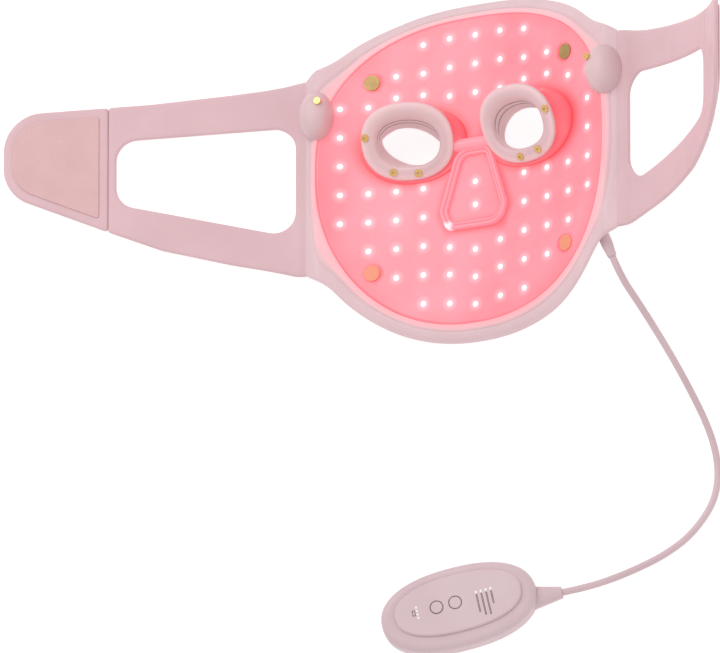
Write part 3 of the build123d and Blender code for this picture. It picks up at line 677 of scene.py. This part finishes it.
def painted_red_shade(u, v):
    """How deep the glow is, as painted shade: strongest round the eye frames, the bridge and the
    nose ridge.
    """
    level = 0.0
    for middle in EYE_HOLES:
        way = (u - middle[0], v - middle[1] + 0.001)
        size = (abs(way[0] / LOBE_HALF[0]) ** 2 + abs(way[1] / LOBE_HALF[1]) ** 2) ** 0.5
        level = max(level, 0.85 * (1 - ease(size, 0.9, 1.25)))
    loop = RIDGE + RIDGE[:1]
    ridge = min(near_segment((u, v), a, b) for a, b in zip(loop, loop[1:]))
    level = max(level, 0.55 * (1 - ease(ridge, 0.0015, 0.0065)))
    bridge = near_segment((u, v), (-0.012, 0.023), (0.012, 0.023))
    level = max(level, 0.7 * (1 - ease(bridge, 0.003, 0.008)))
    # painted shadow ring round each contact
    for place in CONTACTS:
        gap = hypot(abs(u) - place[0], v - place[1])
        level = max(level, 0.8 * (1 - ease(gap, 0.0047, 0.0068)))
    # painted shade along the face's edge beside the rim
    turn = atan2(v - EYE_LINE, u)
    edge = outline_reach(FACE, turn) - hypot(u, v - EYE_LINE)
    return max(level, 0.18 * (1 - ease(edge, 0.0, 0.012)))


def make_face():
    """Lit silicone face, its skirt tucked into the shell."""
    rows = 66
    flat, faces = polar_sheet([reach - 0.0002 for reach in FACE_REACHES], rows)
    points = [on_mask(u, v, sheet_height(u)) for u, v in flat]
    # painted shade: deeper red round the eye frames, ridge, bridge, contacts and edge, and on the
    # tucked skirt
    deep = [painted_red_shade(u, v) for u, v in flat]
    last = 1 + (rows - 1) * TURNS
    for step in range(TURNS):
        u, v = flat[last + step]
        points.append(on_mask(u, v, sheet_height(u) - 0.002))
        deep.append(0.6)
    skirt = len(points) - TURNS
    for step in range(TURNS):
        after = (step + 1) % TURNS
        faces.append((last + step, skirt + step, skirt + after, last + after))
    face = build("lit_face", points, faces, lit_face)
    paint(face, "glow", [0.0] * len(points))
    paint(face, "deep", deep)
    drop_loose(face)
    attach(face, "mask")
    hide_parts("faceplate")


def make_spots():
    """Bright spot and halo where each LED shines through the face."""
    points, faces, glow, deep = [], [], [], []
    count = 24
    for column, rows in LED_ROWS.items():
        for side in (-1, 1) if column else (1,):
            for row in rows:
                middle_u, middle_v = on_arc(side * column * LED_COLUMN), row * LED_ROW
                first = len(points)
                for radius, level in LED_RINGS:
                    for step in range(count if radius else 1):
                        turn = 2 * pi * step / count
                        u = middle_u + radius * MM * cos(turn)
                        v = middle_v + radius * MM * sin(turn)
                        points.append(on_mask(u, v, sheet_height(u) + 0.00006))
                        glow.append(level)
                        # the spots carry the face's painted shade
                        deep.append(painted_red_shade(u, v))
                faces += [(first, first + 1 + step, first + 1 + (step + 1) % count)
                          for step in range(count)]
                for ring in range(len(LED_RINGS) - 2):
                    a, b = first + 1 + ring * count, first + 1 + (ring + 1) * count
                    faces += [(a + step, b + step, b + (step + 1) % count, a + (step + 1) % count)
                              for step in range(count)]
    spots = build("led_spots", points, faces, lit_face)
    paint(spots, "glow", glow)
    paint(spots, "deep", deep)
    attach(spots, "mask")


def rim_section(u):
    """Height of the shell's upper side beside the face, along the section through the eyes."""
    u = abs(u)
    if u <= FACE[0]:
        return sheet_height(u)
    share = (u - FACE[0]) / (RIM[0] - FACE[0])
    return sheet_height(FACE[0]) + share * (RIM_EDGE_TOP - sheet_height(FACE[0]))


def nose_bump(u, v):
    """How far the nose form stands out of the shell."""
    size = (abs((u - NOSE_MIDDLE[0]) / NOSE_HALF[0]) ** NOSE_POWER
            + abs((v - NOSE_MIDDLE[1]) / NOSE_HALF[1]) ** NOSE_POWER) ** (1 / NOSE_POWER)
    clear = min(hypot((abs(u) - EYE_HOLE_AT[0]) / EYE_HOLE_HALF[0],
                      (v - EYE_HOLE_AT[1]) / EYE_HOLE_HALF[1]), 1.3)
    return NOSE_DEPTH * ease(1.04 - size, 0.0, 0.46) * ease(clear, 1.02, 1.25)


def make_shell():
    """Outer shell: bevelled rim with a groove, rounded edge, back and nose form."""
    rim_rows = [0.0, 0.03, 0.06, 0.10, 0.16, 0.24, 0.33, 0.355, 0.38, 0.405, 0.43,
                0.55, 0.68, 0.80]
    points, bleed = [], []

    def add_row(share, offset_in, drop, glow):
        """One row: share of the way from face to rim edge, then moved in and down."""
        for step in range(TURNS):
            turn = 2 * pi * step / TURNS
            inner, outer = FACE_REACHES[step], RIM_REACHES[step]
            reach = inner + (outer - inner) * share - offset_in
            u, v = reach * cos(turn), EYE_LINE + reach * sin(turn)
            end_u = outer * cos(turn)
            slope = 0.0042 * (1 - ease(abs(end_u), 0.050, 0.090))
            points.append(on_mask(u, v, rim_section(u) - slope * share - drop))
            bleed.append(glow)

    add_row(0.0, 0.0, 0.004, 1.0)
    add_row(0.0, 0.0, 0.0002, 0.9)
    for share in rim_rows:
        bead = 0.0005 * (1 - ease(abs(share - 0.05), 0.0, 0.07))
        groove = 0.00055 * (1 - ease(abs(share - 0.38), 0.0, 0.045))
        add_row(share, 0.0, groove - bead, 0.62 * (1 - ease(share, 0.02, 0.46)))
    radius = RIM_THICKNESS / 2
    for step in range(9):
        turn = pi * step / 8
        add_row(1.0, radius * (1 - sin(turn)), radius * (1 - cos(turn)), 0.0)
    for share in (0.85, 0.6, 0.3, 0.0):
        add_row(share, 0.0, RIM_THICKNESS, 0.0)
        for index in range(len(points) - TURNS, len(points)):
            local = points[index] - ORIGIN
            sunk = sheet_height(local.dot(ACROSS), SHELL_DEPTH) - local.dot(FACE_WAY)
            points[index] += FACE_WAY * sunk * ease(1 - share, 0.1, 0.9)
    for point in points:
        point.z = max(point.z, 0.0001)
    rows = len(points) // TURNS
    faces = ring_faces(TURNS, rows)

    back_rows = 66
    flat, back_faces = polar_sheet(FACE_REACHES, back_rows)
    first = len(points)
    for u, v in flat[:-TURNS]:
        points.append(on_mask(u, v, sheet_height(u, SHELL_DEPTH) - nose_bump(u, v)))
        bleed.append(0.0)
    edge_start = len(flat) - TURNS
    last_rim_row = (rows - 1) * TURNS

    def number(i):
        """Point number of a grid point: its last row is the rim's own last row."""
        return last_rim_row + i - edge_start if i >= edge_start else first + i

    faces += [tuple(number(i) for i in reversed(face)) for face in back_faces]
    shell = build("silicone_shell", points, faces, silicone_rim)
    paint(shell, "bleed", bleed)
    drop_loose(shell)
    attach(shell, "mask")
    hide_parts("outer_shell")


def make_tunnels():
    """Lined wall of each eye hole, from the back of the shell to the face."""
    for side, hand in SIDES:
        middle = (side * EYE_HOLE_AT[0], EYE_HOLE_AT[1])
        rings = []
        for grow, level in ((-0.0002, -0.0012), (-0.0002, -0.0079), (0.0003, -0.0086),
                            (0.0011, -0.0088), (0.0019, -0.0086), (0.0022, -0.0076),
                            (0.0022, -0.0012)):
            rings.append([on_mask(u, v, sheet_height(u) + level)
                          for u, v in superellipse(EYE_HOLE_HALF, 2, 96, middle, grow)])
        tunnel = loft(f"{hand}_eye_tunnel", rings, silicone_rim, closed=True)
        paint(tunnel, "bleed", [0.25] * len(tunnel.data.vertices))
        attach(tunnel, "mask")


# ================================================================ eye cups, pods
def cup_axes(side):
    """Middle, sideways, upward and outward directions of an eye cup's rim."""
    along = (ACROSS + side * CUP_LEAN[0] * FACE_WAY).normalized()
    normal = (-side * CUP_LEAN[0] * ACROSS - CUP_LEAN[1] * UP_FACE + FACE_WAY).normalized()
    middle = on_mask(side * CUP_AT[0], CUP_AT[1], CUP_AT[2])
    return middle, along, normal.cross(along), normal


def opening_ring(side, grow, count):
    """Almond of the eye opening, outer corner up, in the cup's axes."""
    tilt = OPENING_TILT * side
    ring = []
    for x, y in superellipse(OPENING_HALF, OPENING_POWER, count, grow=grow):
        ring.append((x * cos(tilt) - y * sin(tilt) + side * OPENING_AT[0],
                     x * sin(tilt) + y * cos(tilt) + OPENING_AT[1]))
    return ring


def crease_depth(share):
    """Depth of the two creases across the funnel's slope, from 0 to 1."""
    return max(1 - ease(abs(share - middle), 0.0, 0.05) for middle in (0.30, 0.52))


def make_cups():
    """Padded eye cups: flat band, smooth funnel and rolled opening."""
    count = 112
    for side, hand in SIDES:
        middle, along, upward, normal = cup_axes(side)
        wide = superellipse(CUP_HALF, CUP_POWER, count)
        funnel_top = superellipse((CUP_HALF[0] - 0.0085, CUP_HALF[1] - 0.0085), 2.4, count)
        throat = opening_ring(side, 0.0, count)
        outer_throat = opening_ring(side, 0.0016, count)

        def ring(flat, level):
            """Ring of the cup's points at a level along its normal."""
            return [middle + along * x + upward * y + normal * level for x, y in flat]

        def between(first, second, share):
            """Ring part of the way between two."""
            return [(a[0] + (b[0] - a[0]) * share, a[1] + (b[1] - a[1]) * share)
                    for a, b in zip(first, second)]

        grown = [superellipse(CUP_HALF, CUP_POWER, count, grow=g) for g in (-0.0021, -0.0008, 0.0)]
        rings = [ring(grown[0], -0.0030), ring(grown[2], -0.0026), ring(grown[2], -0.0010),
                 ring(grown[1], -0.0002), ring(grown[0], 0.0),
                 ring(between(wide, funnel_top, 0.55), 0.0003),
                 ring(between(wide, funnel_top, 0.80), 0.0002)]
        # painted highlight on the band's top edge, then painted light and shade per funnel ring
        painted_light_and_shade = [0.0] * 3 * count + [-0.5] * 2 * count + [0.0] * 2 * count
        for step in range(33):
            share = step / 32
            flat = between(funnel_top, throat, share)
            drop = 0.0004 + 0.0082 * ease(share, -0.15, 1.08)
            points = []
            for place, (x, y) in zip(ring(flat, -drop), flat):
                upper = ease(y - OPENING_AT[1], 0.001, 0.009)
                sunk = 0.0007 * upper * crease_depth(share)
                points.append(place - normal * sunk)
            rings.append(points)
            for _, y in funnel_top:
                upper = ease(y - OPENING_AT[1], 0.001, 0.009)
                # painted shade in the two creases of the upper funnel, painted highlight round the
                # opening's edge
                painted_light_and_shade.append(-0.8 if share > 0.96 else 0.75 * upper * crease_depth(share))
        rings.append(ring(between(throat, outer_throat, 0.25), -0.0092))
        rings.append(ring(between(throat, outer_throat, 0.75), -0.0092))
        rings.append(ring(outer_throat, -0.0086))
        rings.append(ring(between(outer_throat, grown[0], 0.35), -0.0062))
        rings.append(ring(between(outer_throat, grown[0], 0.62), -0.0034))
        cup = loft(f"{hand}_cup", rings, silicone_cup, closed=True)
        painted_light_and_shade += [0.0] * (len(rings) * count - len(painted_light_and_shade))
        paint(cup, "shade", painted_light_and_shade)
        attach(cup, "mask")
        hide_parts(f"{hand}_eye_cup")

        foot = superellipse(EYE_HOLE_HALF, 2, count, (side * EYE_HOLE_AT[0], EYE_HOLE_AT[1]),
                            grow=-0.0003)
        low = [on_mask(u, v, sheet_height(u) - 0.0060) for u, v in foot]
        high = ring(opening_ring(side, 0.0009, count), -0.0088)
        lining = loft(f"{hand}_lining", [high, [a.lerp(b, 0.5) for a, b in zip(high, low)], low],
                      silicone_cup)
        paint(lining, "shade", [0.0] * (3 * count))
        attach(lining, "mask")


def bead(name, path, width, height, base, closed, material):
    """Soft bead on the face along a path of (u, v) points; each end is closed with a fan when open.
    """
    rings, last = [], len(path) - 1
    for index, (u, v) in enumerate(path):
        before = path[index - 1] if index or closed else path[0]
        after = path[(index + 1) % len(path)] if index < last or closed else path[last]
        way = Vector((after[0] - before[0], after[1] - before[1])).normalized()
        ring = []
        for step in range(15):
            turn = pi * step / 14
            out = -cos(turn) * width / 2
            rise = base + (height - base) * sin(turn) ** 0.8
            ring.append(on_mask(u - way.y * out, v + way.x * out, sheet_height(u) + rise))
        for out in (0.3, -0.3):
            ring.append(on_mask(u - way.y * out * width, v + way.x * out * width,
                                sheet_height(u) + base))
        rings.append(ring)
    piece = loft(name, rings, material, start_cap=not closed, end_cap=not closed, closed=closed)
    # painted highlight: a white glow near the nose ridge's lower left corner
    painted_highlight = [0.35 * (1 - ease(hypot(u + 0.0175, v + 0.0265), 0.001, 0.0045)) for u, v in path]
    glow = [level for level in painted_highlight for _ in rings[0]]
    glow += [0.0] * (len(piece.data.vertices) - len(glow))
    paint(piece, "glow", glow)
    paint(piece, "deep", [0.0] * len(piece.data.vertices))
    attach(piece, "mask")


def make_eye_frame():
    """Lobes under the cups, bridge bar, and a soft double bead round the nose."""
    count = 112
    for side, hand in SIDES:
        middle, along, upward, normal = cup_axes(side)
        base = superellipse(LOBE_HALF, 2.1, count, (side * LOBE_AT[0], LOBE_AT[1]))
        top = [middle + along * x + upward * y - normal * 0.0024
               for x, y in superellipse(CUP_HALF, CUP_POWER, count, grow=-0.0009)]
        # the last column is painted shade: deeper red at the lobe's foot and under the cup
        rings, deep = [], []
        for share, rise, grow, level in ((0.0, -0.0012, 0.0006, 1.0), (0.0, 0.0, 0.0, 1.0),
                                         (0.05, 0.0006, 0.0, 0.75), (0.16, 0.0010, 0.0, 0.45),
                                         (0.36, 0.0008, 0.0, 0.35), (0.62, 0.0004, 0.0, 0.40),
                                         (0.86, 0.0, 0.0, 0.65), (1.0, 0.0, 0.0, 0.9)):
            ring = []
            for (u, v), high in zip(base, top):
                low = on_mask(u * (1 + grow), v, sheet_height(u) + rise)
                ring.append(low.lerp(high, share))
            rings.append(ring)
            deep += [level] * count
        lobe = loft(f"{hand}_lobe", rings, lit_frame)
        paint(lobe, "glow", [0.0] * len(deep))
        paint(lobe, "deep", deep)
        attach(lobe, "mask")
        if side < 0:
            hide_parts("eye_frame")
    bar = [(-0.016 + 0.002 * step, 0.0232) for step in range(17)]
    bead("bridge_bar", bar, 0.0085, 0.0062, -0.0006, False, lit_bead)
    outer = rounded_polygon(counter_clockwise(RIDGE), RIDGE_ROUNDS)
    lip = inset_loop(outer, 0.0022)
    for name, loop, width, height in (("nose_ridge", outer, 0.0030, 0.0034),
                                      ("nose_ridge_lip", lip, 0.0024, 0.0023)):
        bead(name, [(p.x, p.y) for p in loop], width, height, -0.0006, True, lit_bead)


def make_marks():
    """Plain printed marks on the control panel: button rings, bars and a battery outline."""
    turn = radians(13)
    along, across = Vector((cos(turn), sin(turn), 0)), Vector((-sin(turn), cos(turn), 0))
    middle = Vector((0.0452, -0.1723, PANEL_TOP))

    def flat_loop(name, outer, inner):
        """Thin printed band between two loops of (x, y) points in millimetres."""
        rings = []
        for loop, level in ((inner, 0.0), (inner, 0.00012), (outer, 0.00012), (outer, 0.0)):
            rings.append([middle + along * x * MM + across * y * MM + Vector((0, 0, level))
                          for x, y in loop])
        band = loft(name, rings, mark_dark, closed=True)
        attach(band, "mask")

    def circle(at, radius):
        """Points of a circle."""
        return [(at[0] + radius * cos(2 * pi * i / 48), at[1] + radius * sin(2 * pi * i / 48))
                for i in range(48)]

    def box(at, half):
        """Points round a rectangle."""
        return [(at[0] + x * half[0], at[1] + y * half[1])
                for x, y in ((-1, -1), (1, -1), (1, 1), (-1, 1))]

    for name, at in (("mode_ring", (-12.5, 2.0)), ("power_ring", (-1.0, 2.0))):
        flat_loop(name, circle(at, 4.15), circle(at, 3.85))
    for index, (column, low) in enumerate(zip((12.5, 15.5, 18.5, 21.5), (-7.6, -10.2, -10.6, -4.4))):
        half = (3.4 - low) / 2
        flat_loop(f"label_bar_{index}", box((column, low + half), (0.45, half)),
                  box((column, low + half), (0.15, half - 0.3)))
    flat_loop("battery_mark", box((-26.6, 1.8), (0.9, 1.7)), box((-26.6, 1.8), (0.6, 1.4)))


def make_pods():
    """Smooth temple domes."""
    count = 72
    levels = ((1.05, -1.0), (1.05, 1.0), (1.03, 4.0), (0.99, 6.5), (0.93, 9.0), (0.84, 11.0),
              (0.72, 12.6), (0.57, 13.8), (0.40, 14.6), (0.22, 15.0), (0.10, 15.05))
    lean, middle, half = radians(11), (0.1003, 0.050, 0.015), (0.0104, 0.0152)
    for side, hand in SIDES:
        along = ACROSS * cos(lean) + FACE_WAY * side * sin(lean)
        normal = FACE_WAY * cos(lean) - ACROSS * side * sin(lean)
        foot = on_mask(side * middle[0], middle[1], middle[2])
        rings = []
        for scale, level in levels:
            rings.append([foot + along * x * scale + UP_FACE * y * scale + normal * level * MM
                          for x, y in superellipse(half, 2, count)])
        pod = loft(f"{hand}_pod", rings, silicone_pod, start_cap=True, end_cap=True)
        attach(pod, "mask")
        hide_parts(f"{hand}_temple_pod")


# ================================================================ straps
def strap_line(side, arc):
    """Point and direction of a strap's middle line: flat on the left, curled on the right."""
    edge = on_mask(side * RIM[0], 0, RIM_MIDDLE)
    if side < 0:
        start = Vector((edge.x, 0, STRAP_THICKNESS / 2))
        return start + Vector((-arc, 0, 0)), Vector((-1, 0, 0))
    begin = STRAP_START + ROLL
    centre = Vector((edge.x - STRAP_CURL * sin(begin), 0, edge.z + STRAP_CURL * cos(begin)))
    turn = begin + arc / STRAP_CURL
    return (centre + STRAP_CURL * Vector((sin(turn), 0, -cos(turn))),
            Vector((cos(turn), 0, sin(turn))))


def strap_point(side, arc, height, lift=0.0):
    """Point on a strap: arc from the rim, height up the face, lift towards the wearer."""
    droop = tan(STRAP_DROOP) if side > 0 else 0.0
    if arc >= ROOT_RUN:
        point, ahead = strap_line(side, arc)
        thin = 1.0
    else:
        fall = (rim_section(RIM[0]) - rim_section(RIM[0] - ROOT_LAP)) / ROOT_LAP
        inside = on_mask(side * (RIM[0] - ROOT_LAP), 0, RIM_MIDDLE - fall * ROOT_LAP)
        inside.y = 0.0
        first, control, last = inside, strap_line(side, 0.0)[0], strap_line(side, ROOT_RUN)[0]
        share = min(max((arc + ROOT_LAP) / (ROOT_LAP + ROOT_RUN), 0.0), 1.0)
        point = first.lerp(control, share).lerp(control.lerp(last, share), share)
        ahead = (control - first).lerp(last - control, share).normalized()
        thin = 1.0 + 0.05 * (1 - ease(arc, -0.001, 0.004))
    up = Vector((-ahead.z, 0, ahead.x)) * side
    place_y = ORIGIN.y + height - droop * max(arc, 0.0)
    return Vector((point.x, place_y, point.z)) + up * lift * thin


def edge_profile(thickness):
    """Inset and height of a rounded edge, from the middle of the edge to the flat."""
    radius = 0.45 * thickness
    flat = thickness / 2 - radius
    return [(radius * (1 - cos(pi / 2 * step / 4)), flat + radius * sin(pi / 2 * step / 4))
            for step in range(5)]


def inset_loop(loop, distance):
    """Loop moved inwards (left of its way round) by a distance."""
    moved = []
    for index, point in enumerate(loop):
        before, after = loop[index - 1], loop[(index + 1) % len(loop)]
        way = (after - before).normalized()
        moved.append(point + Vector((-way.y, way.x)) * distance)
    return moved


def strap_skin(name, side, outer, inner, material, thickness=STRAP_THICKNESS, base=0.0):
    """Closed strap skin between an outer loop and a window loop, or a middle point."""
    middle = sum(outer, Vector((0, 0))) / len(outer)
    profile = edge_profile(thickness)
    rows = [(inset_loop(outer, inset), rise) for inset, rise in profile]
    steps = 9
    target = inset_loop(inner, -profile[-1][0]) if inner else [middle] * len(outer)
    for step in range(1, steps):
        share = step / steps
        rows.append(([a.lerp(b, share) for a, b in zip(rows[4][0], target)], thickness / 2))
    if inner:
        rows += [(inset_loop(inner, -inset), rise) for inset, rise in reversed(profile)]
    top = [[strap_point(side, p.x, p.y, base + rise) for p in loop] for loop, rise in rows]
    bottom = [[strap_point(side, p.x, p.y, base - rise) for p in loop] for loop, rise in rows]
    if inner:
        rings = top + list(reversed(bottom))
        return loft(name, rings, material, closed=True)
    rings = list(reversed(top)) + bottom
    return loft(name, rings, material, start_cap=True, end_cap=True)


def counter_clockwise(points):
    """Corners in counter-clockwise order."""
    area = sum(a[0] * b[1] - b[0] * a[1] for a, b in zip(points, points[1:] + points[:1]))
    return list(points) if area > 0 else list(reversed(points))


def end_loop(corners, far_round, count):
    """Outline of a tab or its pad, its far corners rounder than those by the fold."""
    near = corners[0][0]
    corners = counter_clockwise(corners)
    rounds = [far_round if corner[0] > near else END_ROUND for corner in corners]
    return resample(rounded_polygon(corners, rounds), count, TAB_MIDDLE)


def make_straps():
    """Strap arms that bend out of the rim, tabs that carry on from their ends, and the tabs' pads.
    """
    count = 260
    for side, hand in SIDES:
        arm_corners = counter_clockwise([*ROOT_TOP, *ARM, *ROOT_FOOT])
        outer = rounded_polygon(arm_corners, [END_ROUND] * len(arm_corners))
        window = rounded_polygon(counter_clockwise(WINDOW), [WINDOW_ROUND] * 4)
        arm = strap_skin(f"{hand}_arm", side, resample(outer, count, ARM_MIDDLE),
                         resample(window, count, ARM_MIDDLE), silicone_strap)
        tab = strap_skin(f"{hand}_tab", side, end_loop(TAB, TAB_ROUND, count), None,
                         silicone_strap)
        pad_lift = -side * (STRAP_THICKNESS + PAD_THICKNESS - 0.0004) / 2
        pad = strap_skin(f"{hand}_pad", side, end_loop(PAD, PAD_ROUND, count), None, hook_pile,
                         PAD_THICKNESS, pad_lift)
        strap_point(side, -0.001, 0)
        strap_point(side, 0.010, 0)
        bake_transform(arm)
        strap_point(side, FOLD_AT, 0)
        strap_point(side, FOLD_AT + 0.012, 0)
        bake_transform(tab)
        strap_point(side, FOLD_AT, 0)
        strap_point(side, FOLD_AT + 0.012, 0)
        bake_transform(pad)
        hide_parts(f"{hand}_strap_arm")
        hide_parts(f"{hand}_strap_tab")
        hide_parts("hook_pad" if side < 0 else "loop_pad")


# ================================================================ CAD nodes that stay
def dress_nodes():
    """Materials and softened edges of the CAD nodes that show as they are."""
    looks = {
        "led_board": board_green, "led_chips": lamp_lens, "left_eyelets": gold,
        "right_eyelets": gold, "forehead_contacts": contact_gold,
        "cheek_contacts": covered_contact, "temple_pins": gold, "cable_gland": cord_jacket,
        "cord_collar": case_plastic, "controller_base": case_plastic,
        "controller_cover": case_plastic, "control_panel": panel_plastic,
        "mode_button": panel_plastic, "power_button": panel_plastic, "mode_lamps": lamp_lens,
        "charge_lamps": lamp_lens, "circuit_board": board_green, "tact_switches": dark_plastic,
        "battery_cell": foil, "usb_socket": steel, "case_screws": steel,
    }
    for name, material in looks.items():
        node = frame["nodes"][name]
        for slot in node.material_slots:
            slot.material = material
    for name, width in (("forehead_contacts", 0.0004),
                        ("cheek_contacts", 0.0004), ("left_eyelets", 0.0002),
                        ("right_eyelets", 0.0002), ("temple_pins", 0.0003),
                        ("cord_collar", 0.0012), ("controller_cover", 0.0004),
                        ("controller_base", 0.0003), ("mode_button", 0.0002),
                        ("power_button", 0.0002)):
        soften(name, width)


aim_camera()
light_room()
run_cord()
lay_floor()
make_face()
make_spots()
make_shell()
make_tunnels()
make_cups()
make_eye_frame()
make_pods()
make_marks()
make_straps()
dress_nodes()
